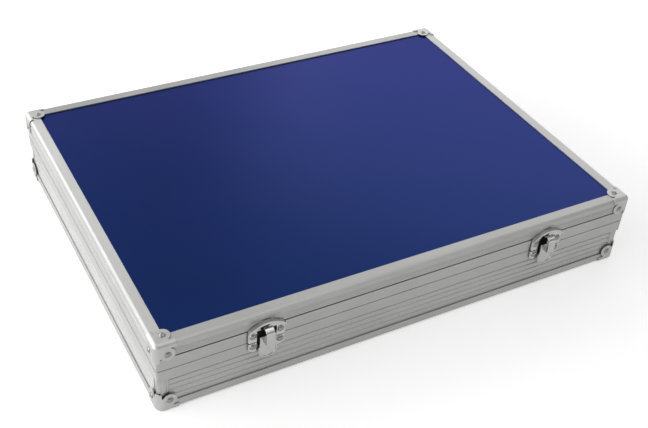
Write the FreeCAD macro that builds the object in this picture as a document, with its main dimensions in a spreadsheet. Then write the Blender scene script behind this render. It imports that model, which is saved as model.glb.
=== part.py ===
import FreeCAD, Part
import math
import os
import Sketcher

# Aluminium attache case: a flat lidded case with extruded edge rails, ribbed side panels,
# pressed corner caps, two butt hinges at the back and two sprung catches at the front.
#
# Frame: X along the length, Y from the front (-Y) to the hinges (+Y), Z up.
# The origin is under the middle of the case, on the surface that it stands on.
# Sizes are in millimetres. The inset of a wall is measured inwards from the outer face of
# the edge trims.

SIZES = [
    # alias, value, meaning
    ("case_length", 400.0, "length over the edge trims"),
    ("case_depth", 303.0, "depth over the edge trims"),
    ("case_height", 63.0, "height over the corner caps"),
    ("lid_height", 24.6, "height of the lid, from the seam to the top of its caps"),
    ("seam_gap", 0.15, "play between the closed lid and the base"),
    # edge trims
    ("trim_width", 9.3, "flange of an edge trim over the lid or floor"),
    ("trim_wall", 1.0, "wall of an edge trim"),
    ("trim_back", 1.5, "inset of the channel that holds a board"),
    ("lid_radius", 2.5, "outer rounding of the lid trims"),
    ("base_radius", 1.0, "outer rounding of the base trims"),
    ("lid_corner", 3.2, "upright corner inside the lid caps"),
    ("base_corner", 5.2, "upright corner inside the base caps"),
    ("lid_ease", 4.0, "how much rounder the lid trims are, to clear the caps"),
    ("base_ease", 2.4, "how much rounder the base trims are, to clear the caps"),
    ("lid_lip", 5.3, "ribbed lower lip of the lid flange"),
    ("lip_waist", 0.35, "how far the flange leans in above its lip"),
    ("lip_groove_depth", 0.25, "grooves along the lip"),
    ("lip_groove_pitch", 1.5, "spacing of the grooves along the lip"),
    ("base_flange", 6.5, "side flange of the base trims"),
    ("rail_leg", 1.2, "inner leg that holds a side panel"),
    ("rail_leg_reach", 5.0, "height of that leg"),
    ("fit_gap", 0.1, "clearance of a piece in its channel"),
    # closing rails
    ("closure_inset", 0.3, "inset of the closing rails' outer face"),
    ("closure_wall", 0.8, "outer wall of the base closing rail"),
    ("closure_flange", 1.2, "flanges of a closing rail"),
    ("closure_radius", 1.6, "rounding of a closing rail's upright corner"),
    ("closure_drop", 9.8, "outer face of the base closing rail"),
    ("closure_rise", 10.35, "outer face of the lid closing rail"),
    ("closure_slope", 4.0, "height of the slope across a closing rail"),
    ("closure_lean", 0.25, "how far a closing rail is set back below that slope"),
    ("reveal", 1.6, "shadow groove between lid trim and closing rail"),
    ("tongue_inset", 3.8, "middle of the tongue on the base rail"),
    ("tongue_wall", 1.2, "thickness of the tongue"),
    ("tongue_height", 2.0, "height of the tongue"),
    ("tongue_gap", 0.6, "play of the tongue in the lid's groove"),
    ("groove_wall", 1.2, "wall round the lid's groove"),
    ("lid_leg", 1.4, "upright leg of the lid closing rail"),
    # boards, skin and linings
    ("lid_board", 3.2, "thickness of the lid board"),
    ("skin", 0.8, "thickness of the coloured sheets"),
    ("floor_board", 3.0, "thickness of the floor board"),
    ("lining_wall", 1.4, "thickness of the soft linings"),
    ("lining_gap", 0.2, "gap between a lining and the rails round it"),
    # side panels and corner posts
    ("panel_inset", 1.2, "inset of the side panels' ribs"),
    ("panel_wall", 3.1, "thickness of a side panel"),
    ("rib_pitch", 5.05, "spacing of the grooves between ribs"),
    ("rib_first", 12.4, "height of the lowest groove"),
    ("rib_groove_width", 1.3, "width of a groove between ribs"),
    ("rib_groove_depth", 0.6, "depth of a groove between ribs"),
    ("post_inset", 1.2, "inset of a corner post's outer face"),
    ("post_leg", 7.8, "visible leg of a corner post"),
    ("post_radius", 1.8, "rounding of a corner post"),
    ("bead_at", 6.0, "bead on a corner post, from the post's corner"),
    ("bead_width", 1.0, "width of that bead"),
    ("bead_height", 0.2, "height of that bead"),
    # corner caps
    ("cap_wall", 0.8, "sheet of the pressed corner caps"),
    ("cap_reach", 16.0, "length of a cap along each edge"),
    ("cap_strip", 4.0, "width of a cap's strips along the edges"),
    ("cap_lobe_at", 9.6, "middle of a cap's round lobe, from each edge"),
    ("cap_lobe", 5.4, "radius of a cap's round lobe"),
    # rivets
    ("rivet_head", 2.5, "radius of a rivet's head"),
    ("rivet_dome", 1.2, "height of a rivet's head"),
    ("rivet_shank", 1.6, "radius of a rivet's shank"),
    ("rivet_gap", 0.05, "clearance round a shank"),
    # hinges
    ("hinge_from_end", 80.0, "middle of a hinge, from the end of the case"),
    ("hinge_width", 40.0, "width of a hinge"),
    ("leaf_wall", 1.2, "sheet of a hinge leaf"),
    ("leaf_height", 7.6, "height of a leaf from the hinge's axis"),
    ("knuckle_radius", 3.0, "outer radius of the knuckles"),
    ("knuckle_gap", 0.2, "gap between knuckles"),
    ("barrel_gap", 0.3, "gap between the knuckles and the rails"),
    ("hinge_pin", 1.5, "radius of a hinge pin"),
    ("pin_gap", 0.05, "running clearance round a pin"),
    # latches
    ("latch_from_end", 80.0, "middle of a latch, from the end of the case"),
    ("latch_width", 28.0, "width of a latch's plates"),
    ("plate_wall", 1.2, "sheet of a latch's plates"),
    ("pad_gap", 0.4, "margin of the black pad behind a plate"),
    ("plate_split", 0.25, "each plate's edge from the seam"),
    ("keeper_shoulder", 11.6, "keeper's height at its sides, from the seam"),
    ("keeper_arch", 6.0, "rise of the keeper's arched top"),
    ("keeper_rim", 1.6, "width of the raised rim along the arch"),
    ("keeper_rim_height", 2.2, "how far that rim stands out of the plate"),
    ("keeper_lip_at", 10.4, "underside of the keeper's lip, from the seam"),
    ("keeper_lip_width", 3.8, "width of the keeper's lip"),
    ("keeper_lip_reach", 3.5, "how far the lip stands out of the trims"),
    ("lip_sheet", 0.8, "thickness of that lip"),
    ("window_half", 7.4, "half the width of the opening behind a catch"),
    ("window_top", 10.2, "top of that opening above the seam"),
    ("window_bottom", 3.2, "bottom of that opening below the seam"),
    ("wing_drop", 8.4, "height of the base plate below the seam"),
    ("wing_radius", 4.0, "rounding of the base plate's lower corners"),
    ("keeper_radius", 1.5, "rounding of the keeper's lower corners"),
    ("boss_radius", 2.8, "raised boss round a latch rivet"),
    ("boss_height", 0.4, "height of that boss"),
    ("rivet_out", 10.4, "latch rivet from the latch's middle"),
    ("rivet_up", 6.4, "keeper's rivet above the seam"),
    ("rivet_down", 3.3, "base plate's rivet below the seam"),
    ("pivot_out", 4.8, "catch pivot, out from the trims' face"),
    ("pivot_up", 3.0, "catch pivot above the seam"),
    ("pivot_radius", 1.0, "radius of a catch's pin"),
    ("ear_radius", 1.8, "rounding of an ear round the pin"),
    ("ear_inside", 1.0, "inner face of an ear, from the latch's middle"),
    ("ear_wall", 1.1, "thickness of an ear"),
    ("ear_back", 1.9, "how far an ear stands out behind the tab"),
    ("ear_root", 4.9, "foot of an ear below the seam"),
    ("pin_head_height", 0.5, "height of the heads of a hinge pin"),
    ("catch_width", 6.4, "width of a catch's channel"),
    ("catch_wall", 0.9, "sheet of a catch"),
    ("catch_out", 8.0, "front of a catch, out from the trims' face"),
    ("catch_top", 13.3, "top of a catch above the seam"),
    ("catch_bend", 4.6, "outer radius of the bend at its top"),
    ("cheek_corner", 4.6, "lower edge of a cheek under the bend, out from the trims' face"),
    ("cheek_top", 8.6, "that edge above the seam"),
    ("hook_depth", 1.2, "side of the hook at its end"),
    ("hook_back", 2.8, "end of the hook, out from the trims' face"),
    ("hook_gap", 0.3, "play between hook and keeper lip"),
    ("tab_radius", 7.2, "radius of the round thumb tab"),
    ("flank_half", 6.1, "half the width of the flat above the thumb tab"),
    ("flank_top", 5.6, "top of that flat above the seam"),
    ("tab_below", 7.6, "middle of the thumb tab below the seam"),
    ("tab_back", 2.6, "back face of the thumb tab, out from the trims' face"),
    ("tab_wall", 1.0, "thickness of the thumb tab"),
    ("tab_rim", 1.0, "width of the rim round the thumb tab"),
    ("tab_dish", 0.35, "depth of the dish inside that rim"),
]

RIB_GROOVES = 4
LIP_GROOVES = 3
HINGE_RIVETS = 3
BASE_KNUCKLES = 3
LID_KNUCKLES = 2
NOTCH_ANGLE = 60.0          # where a cap's lobe leaves the strips, degrees from the leg
HALF_ROOT = math.sqrt(0.5)  # cosine of 45 degrees, for mitres and mid points of arcs

doc = FreeCAD.newDocument("attache_case")


# ---------------------------------------------------------------- sizes and expressions

class Dim:
    """A length that carries its number and the spreadsheet expression it comes from."""

    def __init__(self, number, text):
        self.number = number
        self.text = text

    def __add__(self, other):
        other = as_dim(other)
        return Dim(self.number + other.number, f"({self.text} + {other.text})")

    def __sub__(self, other):
        other = as_dim(other)
        return Dim(self.number - other.number, f"({self.text} - {other.text})")

    def __mul__(self, other):
        other = as_dim(other)
        return Dim(self.number * other.number, f"({self.text} * {other.text})")

    def __truediv__(self, other):
        other = as_dim(other)
        return Dim(self.number / other.number, f"({self.text} / {other.text})")

    def __neg__(self):
        return Dim(-self.number, f"(0 - {self.text})")

    __radd__ = __add__

    def __rmul__(self, other):
        return as_dim(other) * self

    def __rsub__(self, other):
        return as_dim(other) - self


def as_dim(value):
    return value if isinstance(value, Dim) else Dim(float(value), repr(float(value)))


class Sizes:
    """The cells of the spreadsheet, as attributes."""


def make_sheet():
    sheet = doc.addObject("Spreadsheet::Sheet", "Sizes")
    sizes = Sizes()
    for row, (alias, value, meaning) in enumerate(SIZES, 1):
        sheet.set(f"A{row}", alias)
        sheet.set(f"B{row}", str(value))
        sheet.set(f"C{row}", meaning)
        sheet.setAlias(f"B{row}", alias)
        setattr(sizes, alias, Dim(value, f"Sizes.{alias}"))
    doc.recompute()
    return sizes


S = make_sheet()
ZERO = as_dim(0)

# Heights and insets that several pieces share
SEAM = S.case_height - S.lid_height                           # top of the base
LID_TOP = S.case_height - S.cap_wall
BASE_BOTTOM = S.cap_wall
LID_SEAM = SEAM + S.seam_gap
AXIS_HEIGHT = SEAM + S.seam_gap / 2
LID_SLOT_TOP = LID_TOP - S.trim_wall                          # channel for sheet and board
LID_SLOT_BOTTOM = LID_SLOT_TOP - S.skin - S.lid_board
LID_WEB_BOTTOM = LID_SLOT_BOTTOM - S.trim_wall
FLOOR_SLOT_BOTTOM = BASE_BOTTOM + S.trim_wall
FLOOR_SLOT_TOP = FLOOR_SLOT_BOTTOM + S.skin + S.floor_board
FLOOR_WEB_TOP = FLOOR_SLOT_TOP + S.trim_wall
BASE_FLANGE_TOP = BASE_BOTTOM + S.base_flange
PANEL_BACK = S.panel_inset + S.panel_wall
LEG_FACE = PANEL_BACK + S.fit_gap                             # inner legs of the rails
CLOSURE_BACK = S.closure_inset + S.closure_wall
LID_LEG_FACE = S.trim_back + S.fit_gap                        # leg behind the lid trim
BASE_BAND_BOTTOM = SEAM - S.closure_drop
BASE_FLANGE_UNDER = SEAM - S.closure_flange
LID_BAND_TOP = LID_SEAM + S.closure_rise
LIP_BOTTOM = LID_BAND_TOP + S.reveal
LIP_TOP = LIP_BOTTOM + S.lid_lip
LINING_OUT = S.trim_width + S.lining_gap
LINING_IN = LINING_OUT + S.lining_wall                        # also the closing rails' edge
CLOSURE_LOW = S.closure_inset + S.closure_lean


# ---------------------------------------------------------------- sketches and features

def new_body(label):
    body = doc.addObject("PartDesign::Body", label)
    body.Label = label
    return body


def new_sketch(body, role, offset=ZERO):
    """A sketch on one of the body's own planes, moved along the plane's normal."""
    sketch = body.newObject("Sketcher::SketchObject", f"{body.Label}_sketch")
    plane = next(f for f in body.Origin.OriginFeatures if f.Role == role)
    sketch.AttachmentSupport = (plane, [""])
    sketch.MapMode = "FlatFace"
    if offset.number:
        sketch.setExpression("AttachmentOffset.Base.z", offset.text)
    return sketch


def lock_point(sketch, edge, end, x, y):
    """Tie one point of an edge to the origin by two sizes."""
    for kind, axis, size in (("DistanceX", -2, x), ("DistanceY", -1, y)):
        if size.text == ZERO.text:
            sketch.addConstraint(Sketcher.Constraint("PointOnObject", edge, end, axis))
        else:
            index = sketch.addConstraint(
                Sketcher.Constraint(kind, -1, 1, edge, end, size.number))
            sketch.setExpression(f"Constraints[{index}]", size.text)


def arc_between(start, end, radius):
    """The shorter anticlockwise arc of a radius, from start to end."""
    chord = end - start
    half = chord.Length / 2
    rise = math.sqrt(max(radius * radius - half * half, 0.0))
    left = FreeCAD.Vector(-chord.y, chord.x, 0).normalize()
    centre = (start + end) * 0.5 + left * rise
    return Part.Arc(start, centre - left * radius, end)


def add_outline(sketch, corners):
    """A closed outline. A corner is (x, y), or (x, y, radius) where an arc leaves it.

    A positive radius turns left on its way to the next corner, a negative one right.
    """
    corners = [tuple(as_dim(value) for value in corner) for corner in corners]
    points = [FreeCAD.Vector(corner[0].number, corner[1].number, 0) for corner in corners]
    edges = []
    for index, corner in enumerate(corners):
        ends = (points[index], points[(index + 1) % len(points)])
        first = 1
        if len(corner) < 3:
            edge = sketch.addGeometry(Part.LineSegment(*ends), False)
        else:
            radius = corner[2]
            if radius.number < 0:
                radius = -radius
                ends = ends[::-1]
                first = 2
            edge = sketch.addGeometry(arc_between(*ends, radius.number), False)
            size = sketch.addConstraint(Sketcher.Constraint("Radius", edge, radius.number))
            sketch.setExpression(f"Constraints[{size}]", radius.text)
        edges.append((edge, first))
    for index, (edge, first) in enumerate(edges):
        previous, previous_first = edges[index - 1]
        sketch.addConstraint(
            Sketcher.Constraint("Coincident", previous, 3 - previous_first, edge, first))
        lock_point(sketch, edge, first, corners[index][0], corners[index][1])


def add_circle(sketch, x, y, radius):
    x, y = as_dim(x), as_dim(y)
    centre = FreeCAD.Vector(x.number, y.number, 0)
    edge = sketch.addGeometry(
        Part.Circle(centre, FreeCAD.Vector(0, 0, 1), radius.number), False)
    index = sketch.addConstraint(Sketcher.Constraint("Radius", edge, radius.number))
    sketch.setExpression(f"Constraints[{index}]", radius.text)
    lock_point(sketch, edge, 3, x, y)


def add_pad(body, sketch, length, symmetric=False, reverse=False):
    pad = body.newObject("PartDesign::Pad", f"{body.Label}_pad")
    pad.Profile = sketch
    if symmetric:
        pad.SideType = "Symmetric"
    pad.Reversed = reverse
    pad.setExpression("Length", length.text)
    return pad


def add_pocket(body, sketch, length=None, reverse=False):
    """A cut to a depth, or through all on both sides of the sketch."""
    pocket = body.newObject("PartDesign::Pocket", f"{body.Label}_pocket")
    pocket.Profile = sketch
    pocket.Reversed = reverse
    if length is None:
        pocket.SideType = "Symmetric"
        pocket.Type = "ThroughAll"
    else:
        pocket.setExpression("Length", length.text)
    return pocket


def add_rounding(body, base, radius, test):
    """Round the edges of a feature that pass a test."""
    doc.recompute()
    edges = [f"Edge{number}" for number, edge in enumerate(base.Shape.Edges, 1) if test(edge)]
    rounding = body.newObject("PartDesign::Fillet", f"{body.Label}_rounding")
    rounding.Base = (base, edges)
    rounding.setExpression("Radius", radius.text)
    doc.recompute()
    return rounding


def add_mirrored_pad(body, sketch, length):
    """A pad on one side of the body, and its twin across the body's YZ plane."""
    pad = add_pad(body, sketch, length)
    pair = body.newObject("PartDesign::Mirrored", f"{body.Label}_pair")
    pair.Originals = [pad]
    plane = next(f for f in body.Origin.OriginFeatures if f.Role == "YZ_Plane")
    pair.MirrorPlane = (plane, [""])
    body.Tip = pair


def add_revolution(body, sketch, axis):
    turn = body.newObject("PartDesign::Revolution", f"{body.Label}_turn")
    turn.Profile = sketch
    turn.ReferenceAxis = (sketch, [axis])
    turn.Angle = 360.0
    return turn


def place(body, position, turn=0.0, flip=False):
    """Put a body at (x, y, z), turned about Z, after flipping it upside down about X."""
    upright = FreeCAD.Rotation(FreeCAD.Vector(0, 0, 1), turn)
    if flip:
        upright = upright.multiply(FreeCAD.Rotation(FreeCAD.Vector(1, 0, 0), 180))
    body.Placement = FreeCAD.Placement(FreeCAD.Vector(0, 0, 0), upright)
    for axis, size in zip("xyz", position):
        size = as_dim(size)
        if size.text != ZERO.text:
            body.setExpression(f"Placement.Base.{axis}", size.text)


# The four walls: a piece is drawn for the front wall, with Y inwards from its outer face,
# and is then turned to its own wall. Each entry is (turn about Z, length of the wall,
# position of the outer face).
HALF_LENGTH = S.case_length / 2
HALF_DEPTH = S.case_depth / 2
HINGE_X = HALF_LENGTH - S.hinge_from_end
LATCH_X = HALF_LENGTH - S.latch_from_end
WALLS = {
    "front": (0, S.case_length, (ZERO, -HALF_DEPTH, ZERO)),
    "right": (90, S.case_depth, (HALF_LENGTH, ZERO, ZERO)),
    "back": (180, S.case_length, (ZERO, HALF_DEPTH, ZERO)),
    "left": (270, S.case_depth, (-HALF_LENGTH, ZERO, ZERO)),
}
# Corners in turning order, from front left: (turn about Z, sign in X, sign in Y)
CORNERS = {
    "front_left": (0, -1, -1),
    "front_right": (90, 1, -1),
    "back_right": (180, 1, 1),
    "back_left": (270, -1, 1),
}


# ---------------------------------------------------------------- extruded rails

def mitre(body, length, inset, radius, width):
    """Cut both ends at 45 degrees and round the upright corner that the ends make."""
    spare = S.trim_width
    reach = length / 2
    start = inset + radius * (1 - HALF_ROOT)
    for side in (-1, 1):
        sketch = new_sketch(body, "XY_Plane")
        turn = radius if side > 0 else -radius
        add_outline(sketch, [
            (side * (reach + spare), -spare),
            (side * (reach - inset - radius), -spare),
            (side * (reach - inset - radius), inset, turn),
            (side * (reach - start), start),
            (side * (reach - width), width),
            (side * (reach + spare), width),
        ])
        add_pocket(body, sketch)


def rail(label, wall, profile, inset, radius, width):
    """A mitred extrusion along one wall, from its cross-section (inset, height)."""
    turn, length, position = WALLS[wall]
    body = new_body(label)
    sketch = new_sketch(body, "YZ_Plane")
    add_outline(sketch, profile)
    add_pad(body, sketch, length, symmetric=True)
    mitre(body, length, inset, radius, width)
    place(body, position, turn)
    return body


def lid_trim_profile():
    """Edge trim of the lid: flange, board channel, inner leg and ribbed lip."""
    leg_bottom = LID_WEB_BOTTOM - S.rail_leg_reach
    groove_half = S.lip_groove_pitch / 4
    lip = []
    for number in range(LIP_GROOVES):
        height = LIP_BOTTOM + S.lip_groove_pitch * (number + 1)
        lip += [
            (ZERO, height - groove_half),
            (S.lip_groove_depth, height),
            (ZERO, height + groove_half),
        ]
    return [
        (S.lid_radius, LID_TOP),
        (S.trim_width, LID_TOP),
        (S.trim_width, LID_SLOT_TOP),
        (S.trim_back, LID_SLOT_TOP),
        (S.trim_back, LID_SLOT_BOTTOM),
        (S.trim_width, LID_SLOT_BOTTOM),
        (S.trim_width, LID_WEB_BOTTOM),
        (LEG_FACE + S.rail_leg, LID_WEB_BOTTOM),
        (LEG_FACE + S.rail_leg, leg_bottom),
        (LEG_FACE, leg_bottom),
        (LEG_FACE, LID_WEB_BOTTOM),
        (S.trim_back, LID_WEB_BOTTOM),
        (S.trim_back, LIP_BOTTOM),
        (ZERO, LIP_BOTTOM),
        *lip,
        (ZERO, LIP_TOP - S.lip_waist),
        (S.lip_waist, LIP_TOP),
        (ZERO, LID_TOP - S.lid_radius, -S.lid_radius),
    ]


def base_trim_profile():
    """Edge trim of the base: flange, board channel and inner leg."""
    leg_top = FLOOR_WEB_TOP + S.rail_leg_reach
    return [
        (ZERO, BASE_BOTTOM + S.base_radius, S.base_radius),
        (S.base_radius, BASE_BOTTOM),
        (S.trim_width, BASE_BOTTOM),
        (S.trim_width, FLOOR_SLOT_BOTTOM),
        (S.trim_back, FLOOR_SLOT_BOTTOM),
        (S.trim_back, FLOOR_SLOT_TOP),
        (S.trim_width, FLOOR_SLOT_TOP),
        (S.trim_width, FLOOR_WEB_TOP),
        (LEG_FACE + S.rail_leg, FLOOR_WEB_TOP),
        (LEG_FACE + S.rail_leg, leg_top),
        (LEG_FACE, leg_top),
        (LEG_FACE, FLOOR_WEB_TOP),
        (S.trim_wall, FLOOR_WEB_TOP),
        (S.trim_wall, BASE_FLANGE_TOP),
        (ZERO, BASE_FLANGE_TOP),
    ]


def lid_closure_profile():
    """Closing rail of the lid: flat band, groove for the tongue, upright leg in the trim."""
    groove_near = S.tongue_inset - S.tongue_wall / 2 - S.tongue_gap
    groove_far = S.tongue_inset + S.tongue_wall / 2 + S.tongue_gap
    groove_top = LID_SEAM + S.tongue_height + S.tongue_gap
    box_top = groove_top + S.groove_wall
    leg_near = LID_LEG_FACE
    leg_top = LID_WEB_BOTTOM
    middle = (LID_SEAM + LID_BAND_TOP) / 2
    return [
        (CLOSURE_LOW, LID_SEAM),
        (groove_near, LID_SEAM),
        (groove_near, groove_top),
        (groove_far, groove_top),
        (groove_far, LID_SEAM),
        (LINING_IN, LID_SEAM),
        (LINING_IN, LID_SEAM + S.closure_flange),
        (groove_far + S.groove_wall, LID_SEAM + S.closure_flange),
        (groove_far + S.groove_wall, box_top),
        (leg_near, box_top),
        (leg_near, LID_BAND_TOP - S.closure_flange),
        (leg_near + S.lid_leg, LID_BAND_TOP - S.closure_flange),
        (leg_near + S.lid_leg, leg_top),
        (leg_near, leg_top),
        (leg_near, LID_BAND_TOP),
        (S.closure_inset, LID_BAND_TOP),
        (S.closure_inset, middle + S.closure_slope / 2),
        (CLOSURE_LOW, middle - S.closure_slope / 2),
    ]


def base_closure_profile():
    """Closing rail of the base: band over the side panel, inner leg and tongue."""
    tongue_near = S.tongue_inset - S.tongue_wall / 2
    tongue_far = S.tongue_inset + S.tongue_wall / 2
    tongue_top = SEAM + S.tongue_height
    leg_bottom = BASE_FLANGE_UNDER - S.rail_leg_reach
    middle = (BASE_BAND_BOTTOM + SEAM) / 2
    return [
        (CLOSURE_LOW, BASE_BAND_BOTTOM),
        (CLOSURE_BACK, BASE_BAND_BOTTOM),
        (CLOSURE_BACK, BASE_FLANGE_UNDER),
        (LEG_FACE, BASE_FLANGE_UNDER),
        (LEG_FACE, leg_bottom),
        (LEG_FACE + S.rail_leg, leg_bottom),
        (LEG_FACE + S.rail_leg, BASE_FLANGE_UNDER),
        (LINING_IN, BASE_FLANGE_UNDER),
        (LINING_IN, SEAM),
        (tongue_far, SEAM),
        (tongue_far, tongue_top),
        (tongue_near, tongue_top),
        (tongue_near, SEAM),
        (S.closure_inset, SEAM),
        (S.closure_inset, middle + S.closure_slope / 2),
        (CLOSURE_LOW, middle - S.closure_slope / 2),
    ]


def make_rails():
    # The trims' upright corners are rounded more than the caps' inside, to clear it.
    kinds = (
        ("lid_trim", lid_trim_profile(), ZERO, S.lid_corner + S.lid_ease, S.trim_width),
        ("base_trim", base_trim_profile(), ZERO, S.base_corner + S.base_ease, S.trim_width),
        ("lid_closure", lid_closure_profile(), S.closure_inset, S.closure_radius, LINING_IN),
        ("base_closure", base_closure_profile(), S.closure_inset, S.closure_radius,
         LINING_IN),
    )
    for kind, profile, inset, radius, width in kinds:
        for wall in WALLS:
            yield rail(f"{kind}_{wall}", wall, profile, inset, radius, width)


# ---------------------------------------------------------------- boards, skin, linings

def slab(label, inset, bottom, thickness):
    """A rectangular board whose edges lie at one inset all round."""
    body = new_body(label)
    sketch = new_sketch(body, "XY_Plane")
    x = HALF_LENGTH - inset
    y = HALF_DEPTH - inset
    add_outline(sketch, [(-x, -y), (x, -y), (x, y), (-x, y)])
    add_pad(body, sketch, thickness)
    place(body, (ZERO, ZERO, bottom))
    return body


def lining(label, bottom, top, ceiling):
    """A soft open box: a sheet with upright sides, closed at the top or at the floor."""
    body = slab(label, LINING_OUT, bottom, top - bottom)
    inner = LINING_IN
    x = HALF_LENGTH - inner
    y = HALF_DEPTH - inner
    depth = top - bottom - S.lining_wall
    sketch = new_sketch(body, "XY_Plane", ZERO if ceiling else top - bottom)
    add_outline(sketch, [(-x, -y), (x, -y), (x, y), (-x, y)])
    add_pocket(body, sketch, depth, reverse=ceiling)
    return body


def make_sheets():
    edge = S.trim_back + S.fit_gap
    yield slab("lid_skin", edge, LID_SLOT_TOP - S.skin, S.skin)
    yield slab("lid_board", edge, LID_SLOT_BOTTOM, S.lid_board)
    yield slab("base_skin", edge, FLOOR_SLOT_BOTTOM, S.skin)
    yield slab("base_board", edge, FLOOR_SLOT_BOTTOM + S.skin, S.floor_board)
    yield lining("lid_lining", LID_SEAM + S.closure_flange, LID_SLOT_BOTTOM, True)
    yield lining("base_lining", FLOOR_SLOT_TOP, BASE_FLANGE_UNDER, False)


# ---------------------------------------------------------------- side panels and posts

def panel(wall):
    """A ribbed side panel, from post to post."""
    turn, length, position = WALLS[wall]
    body = new_body(f"base_panel_{wall}")
    sketch = new_sketch(body, "YZ_Plane")
    half = S.rib_groove_width / 2
    floor = S.panel_inset + S.rib_groove_depth
    bottom = FLOOR_WEB_TOP
    top = BASE_FLANGE_UNDER
    ribs = []
    for number in range(RIB_GROOVES):
        height = S.rib_first + S.rib_pitch * number
        ribs += [
            (S.panel_inset, height - half),
            (floor, height - half / 2),
            (floor, height + half / 2),
            (S.panel_inset, height + half),
        ]
    add_outline(sketch, [
        (PANEL_BACK, top),
        (PANEL_BACK, bottom),
        (S.panel_inset, bottom),
        *ribs,
        (S.panel_inset, top),
    ])
    add_pad(body, sketch, length - 2 * (S.post_inset + S.post_leg + S.fit_gap), symmetric=True)
    place(body, position, turn)
    return body


def post(corner):
    """An upright corner extrusion, as thick as the panels that end against it."""
    turn, x_sign, y_sign = CORNERS[corner]
    body = new_body(f"base_post_{corner}")
    near = S.post_inset
    far = near + S.post_leg
    bead = near + S.bead_at
    bead_end = bead + S.bead_width
    out = near - S.bead_height
    bottom = FLOOR_WEB_TOP
    sketch = new_sketch(body, "XY_Plane")
    add_outline(sketch, [
        (near + S.post_radius, near),
        (bead, near),
        (bead, out),
        (bead_end, out),
        (bead_end, near),
        (far, near),
        (far, PANEL_BACK),
        (PANEL_BACK, PANEL_BACK),
        (PANEL_BACK, far),
        (near, far),
        (near, bead_end),
        (out, bead_end),
        (out, bead),
        (near, bead),
        (near, near + S.post_radius, S.post_radius),
    ])
    add_pad(body, sketch, BASE_FLANGE_UNDER - bottom)
    place(body, (x_sign * HALF_LENGTH, y_sign * HALF_DEPTH, bottom), turn)
    return body


# ---------------------------------------------------------------- corner caps

def cap_placement(corner, lid):
    """Where a cap's outer corner goes, and how the cap is turned."""
    turn, x_sign, y_sign = CORNERS[corner]
    position = (
        x_sign * (HALF_LENGTH + S.cap_wall),
        y_sign * (HALF_DEPTH + S.cap_wall),
        S.case_height if lid else ZERO,
    )
    return position, turn if lid else turn + 90, not lid


def cap(corner, lid):
    """A pressed corner: three faces with round lobes, joined over rounded edges."""
    body = new_body(f"{'lid' if lid else 'base'}_cap_{corner}")
    reach = S.cap_reach
    sketch = new_sketch(body, "XY_Plane")
    add_outline(sketch, [(ZERO, ZERO), (reach, ZERO), (reach, reach), (ZERO, reach)])
    block = add_pad(body, sketch, reach, reverse=True)
    upright = (S.lid_corner if lid else S.base_corner) + S.cap_wall
    rounding = add_rounding(body, block, upright, lambda edge: max(
        max(vertex.X, vertex.Y) for vertex in edge.Vertexes) < 1e-6)
    level = (S.lid_radius if lid else S.base_radius) + S.cap_wall
    rounding = add_rounding(body, rounding, level, lambda edge: (
        abs(edge.BoundBox.ZMax) + abs(edge.BoundBox.ZMin) < 1e-6
        and min(edge.BoundBox.XMin, edge.BoundBox.YMin) < 1e-6
        and max(edge.BoundBox.XMin, edge.BoundBox.YMin) < reach.number / 2))
    limit = reach.number - 1e-6
    open_faces = [f"Face{number}" for number, face in enumerate(rounding.Shape.Faces, 1)
                  if max(face.CenterOfMass.x, face.CenterOfMass.y, -face.CenterOfMass.z) > limit]
    shell = body.newObject("PartDesign::Thickness", f"{body.Label}_shell")
    shell.Base = (rounding, open_faces)
    shell.Reversed = True
    shell.setExpression("Value", S.cap_wall.text)

    middle = S.cap_lobe_at
    slope = math.radians(NOTCH_ANGLE)
    along = middle + S.cap_lobe * math.cos(slope)
    across = middle - S.cap_lobe * math.sin(slope)
    diagonal = middle + S.cap_lobe * HALF_ROOT
    spare = reach + S.cap_strip
    for plane, second in (("XY_Plane", 1), ("XZ_Plane", -1), ("YZ_Plane", -1)):
        outline = [
            (spare, S.cap_strip),
            (along, S.cap_strip),
            (along, across, S.cap_lobe),
            (diagonal, diagonal, S.cap_lobe),
            (across, along),
            (S.cap_strip, along),
            (S.cap_strip, spare),
            (spare, spare),
        ]
        sketch = new_sketch(body, plane)
        add_outline(sketch, [
            (corner_point[0], second * corner_point[1],
             *(second * radius for radius in corner_point[2:]))
            for corner_point in outline
        ])
        add_circle(sketch, middle, second * middle, S.rivet_shank + S.rivet_gap)
        add_pocket(body, sketch)
    place(body, *cap_placement(corner, lid))
    return body


# ---------------------------------------------------------------- rivets

def dome_rivet(shank):
    """A rivet along +Z: the head's underside is at 0 and the shank goes down from it."""
    head = S.rivet_head.number
    dome = S.rivet_dome.number
    ball = (head * head + dome * dome) / (2 * dome)
    ball_shape = Part.makeSphere(ball, FreeCAD.Vector(0, 0, dome - ball))
    above = Part.makeCylinder(head, dome)
    shaft = Part.makeCylinder(S.rivet_shank.number, shank, FreeCAD.Vector(0, 0, -shank))
    return ball_shape.common(above).fuse(shaft).removeSplitter()


def flush_rivet(shank):
    """A rivet whose head is dressed flush with the sheet."""
    return Part.makeCylinder(S.rivet_shank.number, shank, FreeCAD.Vector(0, 0, -shank))


def numbers(position):
    return FreeCAD.Vector(*(as_dim(size).number for size in position))


def aimed(shape, at, direction, frame):
    """A copy of the shape with its +Z along the direction, at a point of the frame."""
    turn = FreeCAD.Rotation(FreeCAD.Vector(0, 0, 1), FreeCAD.Vector(*direction))
    copy = shape.copy()
    copy.Placement = frame.multiply(FreeCAD.Placement(numbers(at), turn))
    return copy


def wall_frame(wall, along=ZERO):
    turn, _, position = WALLS[wall]
    rotation = FreeCAD.Rotation(FreeCAD.Vector(0, 0, 1), turn)
    offset = rotation.multVec(numbers((along, ZERO, ZERO)))
    return FreeCAD.Placement(numbers(position) + offset, rotation)


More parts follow.
